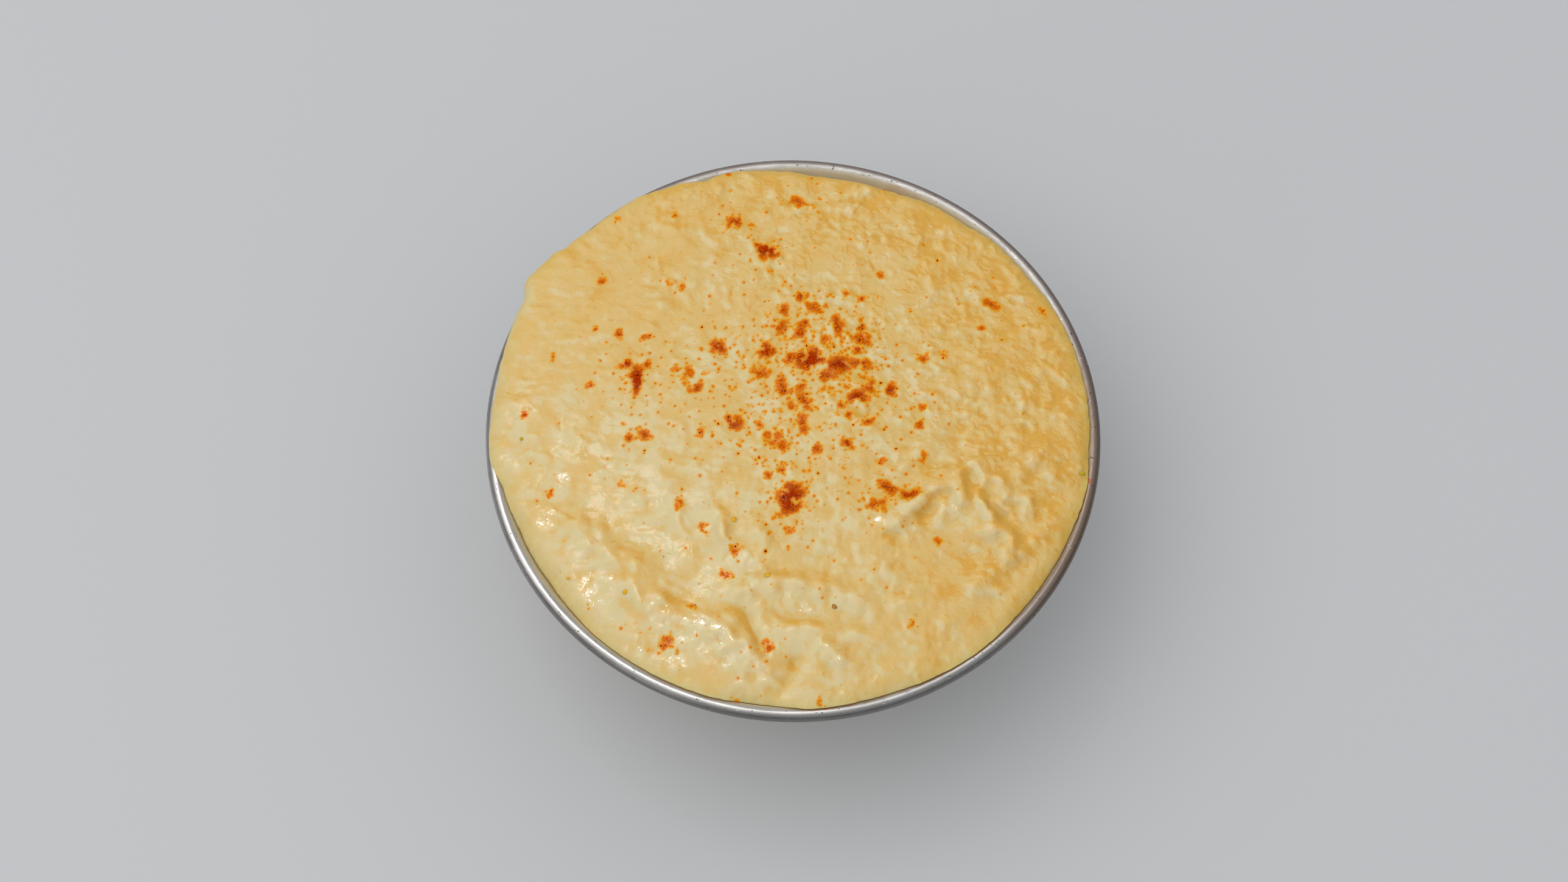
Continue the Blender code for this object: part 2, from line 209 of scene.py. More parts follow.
def bowlSection():
    lip, low, wall = bowl["leanAtLip"], bowl["leanAtKnuckle"], bowl["wall"]
    across = wallR + bowl["bead"]
    outer = wallR + wall
    turn = math.acos((bowl["bead"] ** 2 + across**2 - outer**2) / (2 * bowl["bead"] * across))
    leaves = lip + math.asin(bowl["bead"] * math.sin(turn) / outer)
    touch = math.pi - lip
    knuckle = sectionSteps(math.pi / 2, low, bowl["knuckleSteps"])
    points = [(0.0, 0.0)]
    points += [onWall(lean, wall) for lean in knuckle]
    points += [onWall(lean, wall) for lean in sectionSteps(low, leaves, bowl["wallSteps"])[1:]]
    rolled = sectionSteps(touch + turn - 2 * math.pi, touch, bowl["beadSteps"])
    points += [onBead(angle, 0.0) for angle in rolled[1:]]
    points += [onWall(lean, 0.0) for lean in sectionSteps(lip, low, bowl["wallSteps"])[1:]]
    points += [onWall(lean, 0.0) for lean in reversed(knuckle[:-1])]
    points.append((0.0, wall))
    return points


def makeBowl():
    shape = bmesh.new()
    wire = [shape.verts.new((r * mm, 0.0, z * mm)) for r, z in bowlSection()]
    edges = [shape.edges.new(pair) for pair in zip(wire, wire[1:])]
    bmesh.ops.spin(
        shape, geom=wire + edges, axis=(0, 0, 1), cent=(0, 0, 0), angle=2 * math.pi,
        steps=bowl["turns"], use_merge=True,
    )
    bmesh.ops.remove_doubles(shape, verts=shape.verts[:], dist=0.001 * mm)
    bmesh.ops.recalc_face_normals(shape, faces=shape.faces[:])
    # the pressed lip isn't perfectly even
    shape.normal_update()
    for vert in shape.verts:
        if vert.co.z > (beadZ - 2 * bowl["bead"]) * mm:
            uneven = noise.noise(vert.co / (bowl["wobbleSize"] * mm))
            vert.co -= vert.normal * abs(uneven) * bowl["wobble"] * mm
    return meshPiece("steelBowl", shape, ["bowl"])


# the hummus
paste = {
    "steps": 300,  # squares along a side of the sheet that is folded into shape
    "shoulderRings": 12, "edgeRings": 4, "wallRings": 2, "knuckleRings": 2,
    "gap": 0.12, "rise": 4.55, "domePower": 2.4, "shoulder": 3.2,
    "mostClimb": math.radians(40), "overhang": 0.2, "edgeDepth": 4.0,
    "edgeWobble": 0.14, "edgeWobbleSize": 2.2,
    "noseRise": 0.35, "noseSlope": 0.5, "tuckOut": 0.6, "tuckRise": 0.35,
    "swell": 0.45, "swellSize": 15.0,
    "high": 51.0, "soft": 0.8,  # crests above this are pressed down softly
    "fineSteps": 3, "broadSteps": 40, "reliefSpan": 0.9,  # how the material reads crests and creases
    "edgeTint": 7.0,  # how far the darker tint at the lip reaches in
}

# lumps, bits and streaks in the paste: height and size in mm, and the seed of their noise
texture = {
    "broad": (0.50, 5.2, 6.4), "middle": (0.30, 2.8, 2.2), "fine": (0.10, 1.1, 9.9),
    "bits": (1.0, 2.5, 40.1), "smallBits": (1.0, 1.4, 43.7), "streaks": (0.07, 1.6, 30.2),
    "patches": (0.9, 8.0, 14.0), "uneven": (0.7, 2.6, 21.0),
}
bitHeight = 0.36
smallBitShare = 0.4
streakStretch = np.array([0.3, 1.0, 1.0])

# mounds under heaps of paprika at least this thick
mound = {"height": 0.28, "thick": 0.6, "reach": 0.9}

# outermost radius of the hummus round the compass, in mm
lipLine = (
    (4, 57.8), (22, 57.9), (30, 57.7), (38, 57.3), (48, 57.4), (54, 57.0), (62, 57.0), (70, 56.5),
    (86, 56.4), (94, 57.1), (105, 57.7), (110, 57.3), (116, 58.2), (124, 59.1), (134, 59.0),
    (141, 59.7), (144, 60.7), (151, 61.5), (155, 59.8), (168, 59.0), (174, 58.7), (188, 59.3),
    (196, 57.5), (205, 56.8), (217, 56.5), (235, 57.4), (248, 57.7), (256, 57.8), (265, 57.0),
    (276, 58.1), (288, 57.6), (306, 58.1), (325, 57.5), (338, 57.6), (350, 58.1), (357, 57.6),
)

# how far the shoulder stands above the lip, in mm
shoulderLine = (
    (0, 1.0), (50, 1.4), (90, 1.9), (125, 2.7), (150, 3.2), (172, 2.6), (195, 1.3), (225, 0.7),
    (270, 0.7), (320, 0.8),
)

# spoon marks: height, width left of the stroke, width right of it, then the way it runs, in mm
spoonMarks = (
    (1.3, 2.3, 5.0, ((-41.0, -22.5), (-36.5, -25.3), (-32.5, -28.3), (-28.5, -31.3), (-25.0, -33.2))),
    (-0.45, 2.6, 2.6, ((-36.0, -23.5), (-31.0, -28.4), (-26.5, -31.2), (-19.0, -32.3))),
    (1.1, 2.0, 3.5, ((-29.0, -35.3), (-25.5, -37.5), (-22.3, -39.5), (-19.5, -41.0))),
    (-0.3, 1.6, 1.6, ((-26.5, -34.3), (-22.5, -36.5), (-19.0, -38.8))),
    (1.6, 2.8, 4.0, ((-14.5, -41.5), (-11.5, -43.5), (-8.5, -46.0), (-5.5, -49.0))),
    (-1.2, 1.3, 2.4, ((-9.3, -38.5), (-7.6, -40.6), (-6.2, -43.0), (-4.4, -46.0))),
    (0.9, 2.4, 2.6, ((-9.0, -35.0), (-4.0, -33.7), (1.0, -33.8), (5.0, -34.5), (16.0, -37.0))),
    (-0.25, 2.0, 2.0, ((-10.0, -32.0), (-2.0, -31.3), (6.0, -32.0))),
    (-0.4, 1.5, 1.5, ((-3.0, -39.8), (1.0, -40.6), (6.0, -41.3))),
    (0.6, 1.2, 2.0, ((-1.0, -42.3), (5.0, -42.8), (12.0, -43.0), (18.0, -44.2))),
    (0.8, 1.8, 1.8, ((6.5, -46.0), (9.5, -48.0), (12.0, -49.2))),
    (-0.9, 1.6, 1.6, ((2.2, -48.6), (0.6, -51.6), (-1.0, -54.2))),
    (1.1, 1.2, 1.8, ((-13.2, -20.5), (-12.6, -23.4), (-11.8, -25.6))),
    (0.7, 1.2, 1.6, ((-6.4, -22.0), (-5.6, -24.4), (-4.8, -26.6))),
    (0.4, 1.2, 1.2, ((-22.0, -19.0), (-21.2, -22.0), (-20.4, -25.0))),
    (2.1, 2.8, 1.5, ((20.5, -20.5), (24.0, -17.0), (27.0, -14.3), (29.5, -12.4))),
    (-1.1, 1.2, 1.9, ((24.3, -20.2), (27.0, -17.5), (29.3, -14.8))),
    (1.5, 1.3, 2.2, ((32.3, -11.3), (32.6, -14.0), (31.8, -17.2))),
    (1.4, 1.4, 1.7, ((31.2, -10.0), (33.0, -8.6), (36.2, -7.8))),
    (
        2.2, 1.6, 3.2,
        ((34.3, -13.6), (35.8, -15.5), (37.2, -18.2), (39.0, -20.6), (42.2, -22.4), (41.8, -27.0)),
    ),
    (-1.1, 2.0, 1.8, ((36.8, -12.6), (38.8, -16.5), (41.2, -19.5), (44.6, -22.0))),
    (1.3, 1.3, 1.5, ((39.2, -11.0), (41.4, -12.8), (41.0, -14.8))),
    (0.9, 1.7, 1.7, ((43.5, -9.5), (46.5, -6.0), (49.5, -2.0))),
    (1.1, 1.2, 1.7, ((28.6, -14.6), (29.4, -17.0), (29.0, -19.8))),
    (0.9, 1.1, 1.5, ((36.6, -10.2), (37.4, -12.0), (36.6, -14.2))),
    (-0.7, 1.3, 1.3, ((33.9, -12.0), (34.6, -15.2), (35.6, -18.4))),
    (0.7, 1.5, 2.0, ((44.0, -13.0), (45.0, -15.8), (44.2, -18.4))),
    (0.7, 1.6, 2.0, ((22.6, -7.0), (25.0, -4.8), (27.4, -4.0))),
    (0.9, 1.6, 1.6, ((43.0, -26.5), (46.5, -23.0), (50.0, -19.0))),
    (0.9, 1.5, 1.9, ((34.6, -34.0), (36.4, -31.8), (38.2, -30.4))),
    (-0.4, 2.8, 2.8, ((29.0, -6.4), (33.0, -2.0), (36.0, 2.4))),
    (0.5, 1.8, 2.4, ((39.0, 1.0), (42.0, 0.2), (44.0, -1.6))),
)
markSamples = 12
markEnd = 0.08
markSwing = 0.35
markPower = 1.75

# how ragged the marks are: shift and size in mm, and two seeds
raggedness = ((0.9, 5.0, (3.1, 8.7)), (0.45, 1.9, (13.3, 17.9)))

# paprika as it fell, in mm: middle x and y, half length, half width, turn in degrees, how thick
heaps = (
    (2.7, 12.8, 3.0, 2.1, 0, 1.0), (8.3, 12.0, 2.8, 1.7, 5, 0.75), (12.8, 12.6, 1.9, 1.3, 25, 0.5),
    (6.0, 9.6, 2.1, 1.1, 0, 0.4), (-6.0, 14.4, 2.0, 1.6, -20, 0.7), (12.3, 5.0, 1.9, 1.2, 12, 0.85),
    (14.6, 7.6, 1.9, 0.8, 65, 0.45), (-0.2, -16.7, 3.3, 2.5, 75, 1.0), (-12.0, -1.0, 2.1, 1.4, -20, 0.65),
    (-15.2, 15.0, 1.8, 1.4, -35, 0.6), (-30.8, 7.3, 2.9, 1.5, 85, 1.0), (-33.0, 10.8, 1.3, 0.8, 40, 0.8),
    (-6.5, 36.8, 2.7, 1.6, 160, 0.85), (-6.6, 9.6, 1.6, 0.9, 0, 0.5), (18.5, -13.5, 2.0, 1.5, -25, 0.5),
    (22.6, -15.0, 2.3, 1.1, 12, 0.6), (16.2, -17.5, 1.8, 1.2, 15, 0.4), (7.8, 20.5, 2.4, 1.2, -75, 0.5),
    (13.3, 17.8, 1.9, 1.5, 0, 0.4), (2.0, 3.7, 1.6, 1.1, -60, 0.5), (1.5, -1.0, 2.3, 0.9, 100, 0.45),
    (-3.6, -4.2, 2.0, 1.2, -30, 0.35), (-2.0, -6.0, 1.2, 1.0, 0, 0.4), (-2.3, 6.0, 2.0, 0.9, 85, 0.4),
    (0.8, 18.4, 1.2, 1.1, 0, 0.55), (1.1, 20.5, 1.4, 1.1, 0, 0.3), (-3.5, 19.8, 1.5, 1.0, 25, 0.5),
    (4.3, 24.4, 2.3, 1.2, -10, 0.4), (-28.6, -4.0, 1.5, 0.9, 0, 0.45), (38.2, 27.4, 1.9, 0.9, 140, 0.4),
    (-21.3, 9.3, 1.6, 1.1, 0, 0.4), (-19.2, 6.0, 1.4, 0.9, 10, 0.5), (-0.2, 48.2, 2.1, 1.1, 159, 0.4),
    (-12.8, 43.3, 1.5, 1.0, -6, 0.55), (-22.8, -46.0, 1.4, 1.0, 90, 0.45), (-3.7, -46.5, 1.3, 0.9, 136, 0.45),
)

# smaller pinches: middle x and y, half size
pinches = (
    (-1.2, 13.0, 1.3), (5.5, 17.0, 0.9), (-3.0, 23.3, 1.2), (0.6, 26.8, 1.2), (12.3, 20.2, 0.9),
    (12.2, 15.4, 1.0), (1.3, 7.2, 0.9), (-2.8, 8.4, 0.8), (10.5, -5.0, 1.2), (4.2, -6.2, 1.1),
    (14.3, 0.4, 1.2), (10.6, 1.2, 0.8), (9.0, 2.9, 0.8), (-0.6, 2.0, 0.9), (18.3, 7.0, 1.5),
    (24.8, 3.7, 0.8), (24.3, 0.3, 1.1), (24.8, -7.0, 0.8), (17.2, -8.2, 0.8), (28.7, 15.3, 0.6),
    (25.0, 14.2, 1.0), (16.2, 32.5, 0.8), (9.2, 27.6, 0.7), (48.7, 26.4, 0.7), (36.3, 21.4, 0.7),
    (-28.8, 11.0, 0.9), (-23.2, 9.6, 0.8), (-34.7, 17.2, 1.0), (-29.6, 16.4, 0.9), (-31.8, -4.6, 0.9),
    (-40.0, 5.8, 0.8), (-47.6, 12.2, 0.6), (-39.6, 18.2, 0.5), (-38.6, 28.7, 0.9), (-23.1, 27.9, 0.7),
    (-25.7, 29.0, 0.6), (-25.0, 44.1, 0.6), (-36.3, 43.2, 0.6), (12.6, 26.7, 0.7), (-10.2, -27.5, 1.0),
    (-12.0, -32.6, 1.0), (-16.8, -22.9, 0.8), (-21.6, -18.4, 1.0), (-4.3, -12.2, 0.9), (-2.0, -10.8, 0.7),
    (-6.6, -1.3, 0.7), (-17.9, -38.8, 0.6), (-46.3, -15.9, 0.8), (-52.3, -0.3, 0.8), (-32.6, -14.5, 0.6),
    (28.3, -24.2, 0.8), (23.5, -40.6, 0.6), (-9.4, -56.6, 0.5), (6.7, -56.8, 0.6), (16.8, 53.2, 0.6),
    (-14.8, 55.1, 0.8), (-0.2, -23.0, 0.8), (-2.6, -20.8, 0.7), (-17.9, -3.4, 0.8), (-14.0, 42.5, 0.6),
)

# wettest places: middle x and y and half size, in mm
wetSpots = (
    (-36.0, -35.2, 3.6), (-24.0, -40.5, 2.8), (-13.0, -46.5, 3.8), (-6.0, -51.0, 3.6), (-29.0, -47.5, 2.0),
    (9.0, -47.5, 2.2), (30.5, -18.5, 1.6), (38.5, -23.0, 1.6), (-47.0, -21.5, 2.4), (17.0, -20.5, 1.4),
    (-18.0, -43.5, 2.8), (-40.5, -28.5, 2.2), (-44.0, -13.0, 1.6), (3.5, -38.5, 1.4), (-20.5, -50.0, 1.8),
)


def roundCompass(line, degrees):
    angles = np.array([a for a, _ in line] + [line[0][0] + 360.0])
    values = np.array([v for _, v in line] + [line[0][1]])
    at = np.mod(degrees - angles[0], 360.0) + angles[0]
    left = np.clip(np.searchsorted(angles, at, side="right") - 1, 0, len(line) - 1)
    share = (at - angles[left]) / (angles[left + 1] - angles[left])
    return values[left] + (values[left + 1] - values[left]) * share * share * (3 - 2 * share)


def strokeWay(points, count):
    known = [np.array(p) for p in points]
    known = [2 * known[0] - known[1], *known, 2 * known[-1] - known[-2]]
    way = []
    for i in range(count + 1):
        where = i / count * (len(points) - 1)
        k = min(int(where), len(points) - 2)
        t = where - k
        a, b, c, d = known[k : k + 4]
        square = (2 * a - 5 * b + 4 * c - d) * t**2
        cube = (3 * b - a - 3 * c + d) * t**3
        way.append(0.5 * (2 * b + (c - a) * t + square + cube))
    return np.array(way)


def spoonMark(places, mark):
    # what one stroke adds to the height, in mm
    height, leftWidth, rightWidth, points = mark
    way = strokeWay(points, markSamples)
    nearest = np.full(len(places), np.inf)
    across = np.zeros(len(places))
    along = np.zeros(len(places))
    for i, (start, end) in enumerate(zip(way, way[1:])):
        run = end - start
        length = np.linalg.norm(run)
        run = run / length
        offset = places - start
        t = np.clip(offset @ run / length, 0.0, 1.0)
        gap = offset - np.outer(t * length, run)
        distance = np.linalg.norm(gap, axis=1)
        closer = distance < nearest
        side = run[0] * offset[:, 1] - run[1] * offset[:, 0]
        nearest = np.where(closer, distance, nearest)
        across = np.where(closer, side, across)
        along = np.where(closer, (i + t) / markSamples, along)
    # a soft change of width from one side to the other keeps the crest whole
    swing = ease(-markSwing, markSwing, across)
    width = rightWidth + (leftWidth - rightWidth) * swing
    taper = np.sqrt(np.sin(np.pi * (markEnd + (1 - 2 * markEnd) * along)))
    return height * taper * np.exp(-((nearest / width) ** markPower))


def textured(places, name, octaves=1):
    height, size, seed = texture[name]
    return height * field(places, size, seed, octaves)


def surfaceHeight(flat, edge, shoulder):
    # top of the hummus over each place, in mm, without its lumps
    deep = np.column_stack([flat * mm, np.zeros(len(flat))])
    out = np.clip(np.linalg.norm(flat, axis=1) / edge, 0.0, 1.0)
    dome = bowl["height"] + shoulder + (paste["rise"] - shoulder) * (1 - out ** paste["domePower"])
    swell = paste["swell"] * field(deep, paste["swellSize"]) * (1 - out**8)
    # ragged strokes: the places are shifted a little before the marks are read
    shift = np.zeros((len(flat), 2))
    for far, size, seeds in raggedness:
        shift += np.column_stack([field(deep, size, seed) for seed in seeds]) * far
    vary = np.clip(1 + textured(deep, "uneven"), 0.5, 1.3)
    marks = np.zeros(len(flat))
    for mark in spoonMarks:
        marks += spoonMark(flat + shift, mark)
    return dome + swell, marks * vary


def underSide(climb):
    if climb < 0:
        return onWall(bowl["leanAtLip"] - climb / wallR, -paste["gap"])
    return onBead(math.pi - bowl["leanAtLip"] - climb / (bowl["bead"] + paste["gap"]), paste["gap"])


def climbAt(radius):
    reach = bowl["bead"] + paste["gap"]
    wallTop = beadR - reach * math.cos(bowl["leanAtLip"])
    if radius <= wallTop:
        return (radius - wallTop) / math.sin(bowl["leanAtLip"])
    angle = math.acos((radius - beadR) / reach)
    return reach * (math.pi - bowl["leanAtLip"] - angle)


def edgeColumn(edge):
    # the edge from its nose down to the middle of the bowl, as radius and height in mm
    most = beadR + (bowl["bead"] + paste["gap"]) * math.cos(paste["mostClimb"])
    touch = min(edge - paste["overhang"], most)
    climb = climbAt(touch)
    touchZ = underSide(climb)[1]
    noseZ = touchZ + paste["noseRise"] + paste["noseSlope"] * (edge - touch)
    tuckZ = touchZ + paste["tuckRise"] * (noseZ - touchZ)
    column = [(touch + paste["tuckOut"] * (edge - touch), tuckZ)]
    column += [underSide(c) for c in sectionSteps(climb, -paste["edgeDepth"], paste["edgeRings"])]
    first = bowl["leanAtLip"] + paste["edgeDepth"] / wallR
    wall = sectionSteps(first, bowl["leanAtKnuckle"], paste["wallRings"])
    knuckle = sectionSteps(bowl["leanAtKnuckle"], math.pi / 2, paste["knuckleRings"])
    column += [onWall(lean, -paste["gap"]) for lean in wall[1:] + knuckle[1:]]
    column.append((0.0, bowl["wall"] + paste["gap"]))
    return noseZ, column


def softened(sheet, times):
    for _ in range(times):
        wide = np.pad(sheet, 1, mode="edge")
        around = wide[:-2, 1:-1] + wide[2:, 1:-1] + wide[1:-1, :-2] + wide[1:-1, 2:]
        sheet = (around + 4 * sheet) / 8
    return sheet


def heapShare(flat, heap, reach):
    x, y, length, width, turn, _ = heap
    c, s = math.cos(math.radians(turn)), math.sin(math.radians(turn))
    dx, dy = flat[:, 0] - x, flat[:, 1] - y
    u = (c * dx + s * dy) / (length * reach + 0.15)
    v = (-s * dx + c * dy) / (width * reach + 0.15)
    return u * u + v * v


# oil from a grain: how far it soaks in mm, and how much, with more from darker ones
oil = {"soak": 0.17, "fades": 2.2, "least": 0.34, "darker": 0.3}


def oiled(flat, grains):
    # how much oil the grains have given to the paste, 0 to 1
    tree = KDTree(len(flat))
    for i, (x, y) in enumerate(flat):
        tree.insert((x, y, 0.0), i)
    tree.balance()
    stain = np.zeros(len(flat))
    for x, y, size, _, shade in grains:
        reach = 0.5 * size + oil["soak"]
        strength = oil["least"] + oil["darker"] * shade
        for _, i, away in tree.find_range((x, y, 0.0), oil["fades"] * reach):
            stain[i] += strength * math.exp(-((away / reach) ** 2))
    return 1 - np.exp(-stain)


def wetness(flat):
    wet = np.zeros(len(flat))
    for x, y, half in wetSpots:
        wet += np.exp(-((flat[:, 0] - x) ** 2 + (flat[:, 1] - y) ** 2) / half**2)
    return np.clip(wet, 0, 1)


def makeHummus(grains):
    steps = paste["steps"]
    half = steps // 2
    shape = bmesh.new()
    bmesh.ops.create_grid(shape, x_segments=steps, y_segments=steps, size=1.0)
    square = np.array([v.co[:2] for v in shape.verts])
    row = np.rint((square + 1) * half).astype(int)
    # square rings become round ones
    x, y = square[:, 0], square[:, 1]
    wide = np.abs(x) >= np.abs(y)
    safeX = np.where(np.abs(x) < 1e-9, 1.0, x)
    safeY = np.where(np.abs(y) < 1e-9, 1.0, y)
    turn = np.where(wide, math.pi / 4 * y / safeX, math.pi / 2 - math.pi / 4 * x / safeY)
    turn = np.where(wide & (x < 0), turn + math.pi, turn)
    turn = np.where(~wide & (y < 0), turn + math.pi, turn)
    ring = np.rint(np.maximum(np.abs(x), np.abs(y)) * half).astype(int)

    way = np.column_stack([np.cos(turn), np.sin(turn)])
    degrees = np.degrees(turn)
    edge = roundCompass(lipLine, degrees)
    shoulder = roundCompass(shoulderLine, degrees)
    rimPlaces = np.column_stack([way * bowl["rim"] * mm, np.zeros(len(way))])
    edge = edge + paste["edgeWobble"] * field(rimPlaces, paste["edgeWobbleSize"], 5.5, 2)

    # the under side: the tuck, the edge, the wall, the knuckle and the middle
    underRings = 1 + paste["edgeRings"] + 1 + paste["wallRings"] + paste["knuckleRings"] + 1
    topRings = half - underRings - paste["shoulderRings"]
    inner = edge - paste["shoulder"]
    share = np.clip((ring - topRings) / paste["shoulderRings"], 0.0, 1.0)
    out = np.sin(math.pi / 2 * share)
    radius = np.where(ring <= topRings, inner * ring / topRings, inner + paste["shoulder"] * out)
    flat = way * radius[:, None]
    smooth, marks = surfaceHeight(flat, edge, shoulder)

    # low mounds under the thick paprika
    mounds = np.zeros(len(flat))
    for heap in heaps:
        if heap[5] > mound["thick"]:
            tall = mound["height"] * min(1.0, heap[3])
            mounds += tall * np.exp(-heapShare(flat, heap, mound["reach"]))

    # lumps: highest at the back right and lower at the front left
    deep = np.column_stack([flat * mm, (smooth + marks) * mm])
    toRight = ease(-30, 35, flat[:, 0] * 0.8 + flat[:, 1] * 0.55)
    lumpy = 0.4 + 0.6 * toRight
    broad = 0.35 + 0.65 * ease(0, 40, np.hypot(flat[:, 0] - 2, flat[:, 1] - 12))
    patchy = 0.75 + textured(deep, "patches")
    lumps = broad * lumpy * textured(deep, "broad")
    lumps += lumpy * patchy * (textured(deep, "middle", 2) + textured(deep, "fine"))
    # raised bits of chickpea, most where the paste is lumpy
    bits = ease(0.05, 0.60, textured(deep, "bits"))
    bits += smallBitShare * ease(0.1, 0.5, textured(deep, "smallBits"))
    lumps += bitHeight * (0.12 + 0.88 * lumpy) * np.clip(patchy, 0.2, 1.4) * bits
    lumps += (1 - 0.9 * toRight) * textured(deep * streakStretch, "streaks")
    fade = 1 - share**4
    rough = marks + (lumps + mounds) * fade

    columns = {}
    height = np.empty(len(flat))
    for i in range(len(flat)):
        key = round(edge[i], 4)
        if key not in columns:
            columns[key] = edgeColumn(edge[i])
        noseZ, column = columns[key]
        under = ring[i] - topRings - paste["shoulderRings"]
        if under > 0:
            r, z = column[under - 1]
            flat[i] = way[i] * r
            height[i] = z
        else:
            z = smooth[i] + rough[i]
            if z > paste["high"]:
                z = paste["high"] + paste["soft"] * (1 - math.exp((paste["high"] - z) / paste["soft"]))
            height[i] = noseZ + (z - noseZ) * math.sqrt(max(0.0, 1 - out[i] ** 2))
    print("hummus folded", len(flat), "places, top at", round(height.max(), 2), "mm")

    # what the material reads
    sheet = np.zeros((steps + 1, steps + 1))
    sheet[row[:, 0], row[:, 1]] = rough * fade
    fine = softened(sheet, paste["fineSteps"]) - softened(sheet, paste["broadSteps"])
    relief = fine[row[:, 0], row[:, 1]]
    layers = {
        "relief": np.clip(0.5 + relief / paste["reliefSpan"], 0, 1),
        "stain": oiled(flat, grains),
        "edge": np.clip(1 - (edge - radius) / paste["edgeTint"], 0, 1),
        "wet": wetness(flat),
    }
    for name, values in layers.items():
        layer = shape.verts.layers.float.new(name)
        for vert, value in zip(shape.verts, values):
            vert[layer] = float(value)
    for vert, place, z in zip(shape.verts, flat, height):
        vert.co = (place[0] * mm, place[1] * mm, z * mm)
    bmesh.ops.remove_doubles(shape, verts=shape.verts[:], dist=0.001 * mm)
    bmesh.ops.recalc_face_normals(shape, faces=shape.faces[:])
    surface = BVHTree.FromBMesh(shape)
    return meshPiece("hummusHeap", shape, ["hummus"]), surface


# paprika
flakes = {
    "grains": 10.5,  # on each square mm
    "size": (0.22, 0.56), "narrow": (0.6, 1.0), "flat": (0.28, 0.5), "crumple": (0.75, 1.25),
    "clusters": 2.2, "crowding": 0.55, "loose": 0.36, "pile": 0.25,
    "shade": 1.35, "shadeSpread": (0.06, 0.14), "burntShare": 0.012, "burnt": 1.5,
    "steepest": 0.3, "batch": 60,
}
dust = {
    "near": 760, "cloud": 380, "far": 330, "size": (0.16, 0.62), "smallness": 1.8,
    "middle": (3, 8), "stray": 1.2, "cloudSpread": 10.0, "farMiddle": 5, "spread": 22.0, "reach": 56,
    "paleShare": 0.95, "pale": 0.35, "dark": 1.3,
}


def heapGrains(x, y, length, width, turn, thick):
    # grains of one heap: they fell in small clusters, thickest in the middle
    c, s = math.cos(math.radians(turn)), math.sin(math.radians(turn))
    clusters = []
    for _ in range(3 + round(flakes["clusters"] * length * width)):
        far = draw.random() ** flakes["crowding"]
        way = draw.uniform(0, 2 * math.pi)
        clusters.append((length * far * math.cos(way), width * far * math.sin(way)))
    grains = []
    wanted = max(4, round(math.pi * length * width * flakes["grains"] * (0.7 + 0.7 * thick)))
    for _ in range(wanted):
        u, v = draw.choice(clusters)
        u += draw.gauss(0, flakes["loose"])
        v += draw.gauss(0, flakes["loose"])
        far = math.hypot(u / length, v / width)
        deep = max(0.0, 1 - 0.8 * far) * thick
        shade = flakes["shade"] * deep + draw.gauss(*flakes["shadeSpread"])
        shade = min(1.0, max(0.0, shade))
        if draw.random() < flakes["burntShare"]:
            shade = flakes["burnt"]
        size = draw.uniform(*flakes["size"]) * (1.1 - 0.35 * min(1.0, far))
        lift = flakes["pile"] * deep * draw.random()
        grains.append((x + c * u - s * v, y + s * u + c * v, size, lift, shade))
    return grains


def paprikaGrains():
    grains = []
    for heap in heaps:
        grains += heapGrains(*heap)
    for x, y, half in pinches:
        grains += heapGrains(x, y, half, 0.75 * half, draw.uniform(0, 180), 0.15 + 0.35 * half)
    return grains


def dustGrains():
    weights = [h[2] * h[3] for h in heaps]
    spots = []
    for heap in draw.choices(heaps, weights, k=dust["near"]):
        wide = dust["stray"] + heap[2]
        spots.append((draw.gauss(heap[0], wide), draw.gauss(heap[1], wide)))
    for _ in range(dust["cloud"]):
        spots.append(tuple(draw.gauss(middle, dust["cloudSpread"]) for middle in dust["middle"]))
    for _ in range(dust["far"]):
        spots.append((draw.gauss(0, dust["spread"]), draw.gauss(dust["farMiddle"], dust["spread"])))
    grains = []
    low, high = dust["size"]
    for x, y in spots:
        if math.hypot(x, y) < dust["reach"]:
            size = low + (high - low) * draw.random() ** dust["smallness"]
            shade = draw.uniform(0.0, dust["pale"]) if draw.random() < dust["paleShare"] else dust["dark"]
            grains.append((x, y, size, 0.0, shade))
    return grains


# flecks of other things in the paste: x, y, size in mm and hue, 0 yellow, 1 brown, 2 green
flecks = (
    (-42.0, -33.5, 0.9, 0.0), (-31.0, -36.5, 1.1, 0.0), (-38.0, -38.5, 0.7, 0.0), (-10.8, -21.5, 1.2, 0.0),
    (-4.0, -32.5, 1.2, 0.0), (56.3, -8.0, 1.3, 2.0), (8.8, -38.2, 1.2, 1.0), (-52.6, -5.2, 0.8, 2.0),
    (-17.6, -38.6, 0.6, 1.0), (-24.0, -29.0, 0.5, 0.4),
)


def dropped(surface, x, y):
    # where a grain let go high above the bowl comes to lie
    above = Vector((x * mm, y * mm, 200 * mm))
    place, normal, _, _ = surface.ray_cast(above, Vector((0, 0, -1)))
    return place, normal


